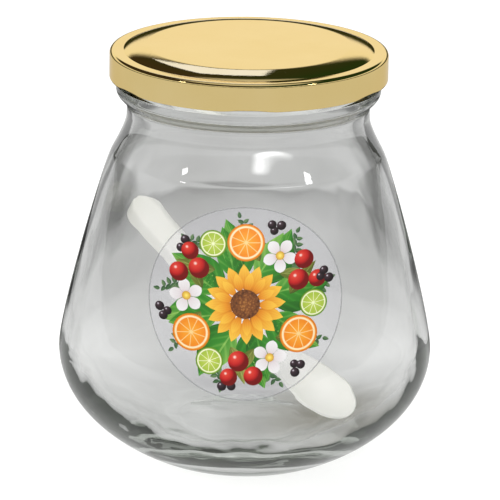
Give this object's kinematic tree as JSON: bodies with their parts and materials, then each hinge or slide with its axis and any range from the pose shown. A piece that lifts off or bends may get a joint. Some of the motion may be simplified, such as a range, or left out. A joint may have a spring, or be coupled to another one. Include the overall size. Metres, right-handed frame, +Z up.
{
  "type": "storage jar",
  "caption": "Wide-bellied glass storage jar with a gold twist-off metal lid, its sealing ring, a round clear label and a plastic spoon leaning inside.",
  "frame": {"origin": "centre of the jar at the level of the surface it stands on", "axes": "+Z up along the jar's axis; the label faces -Y; +X to the right as the label is read"},
  "size_m": [0.1144, 0.1149, 0.1297],
  "materials": {
    "clear_glass": "clear soda-lime glass, fire polished",
    "gold_lacquer": "gloss gold lacquer on tinplate",
    "seal_compound": "smooth moulded compound",
    "label_film": "clear gloss film",
    "spoon_plastic": "moulded white plastic, semi-gloss"
  },
  "bodies": {
    "jar": {"glass_jar": "clear_glass", "label_film": "label_film"},
    "seal": {"lid_seal": "seal_compound"},
    "lid": {"lid_shell": "gold_lacquer"},
    "spoon": {"spoon": "spoon_plastic"}
  },
  "joints": [
    {"name": "lid_lift", "type": "slide", "parent": "jar", "child": "seal", "axis": [0, 0, 1], "range_m": [0, 0.01861]},
    {"name": "lid_turn", "type": "hinge", "parent": "seal", "child": "lid", "pos_m": [0, 0, 0.1275], "axis": [0, 0, 1], "range_deg": [0, 360]},
    {"name": "spoon_tilt", "type": "hinge", "parent": "jar", "child": "spoon", "pos_m": [0.03365, -0.02102, 0.01511], "axis": [0.5519, 0.8339, 0], "range_deg": [0, 45]}
  ],
  "couplings": [
    {"joint": "lid_lift", "follows": "lid_turn", "m_per_rad": 0.0029603}
  ]
}
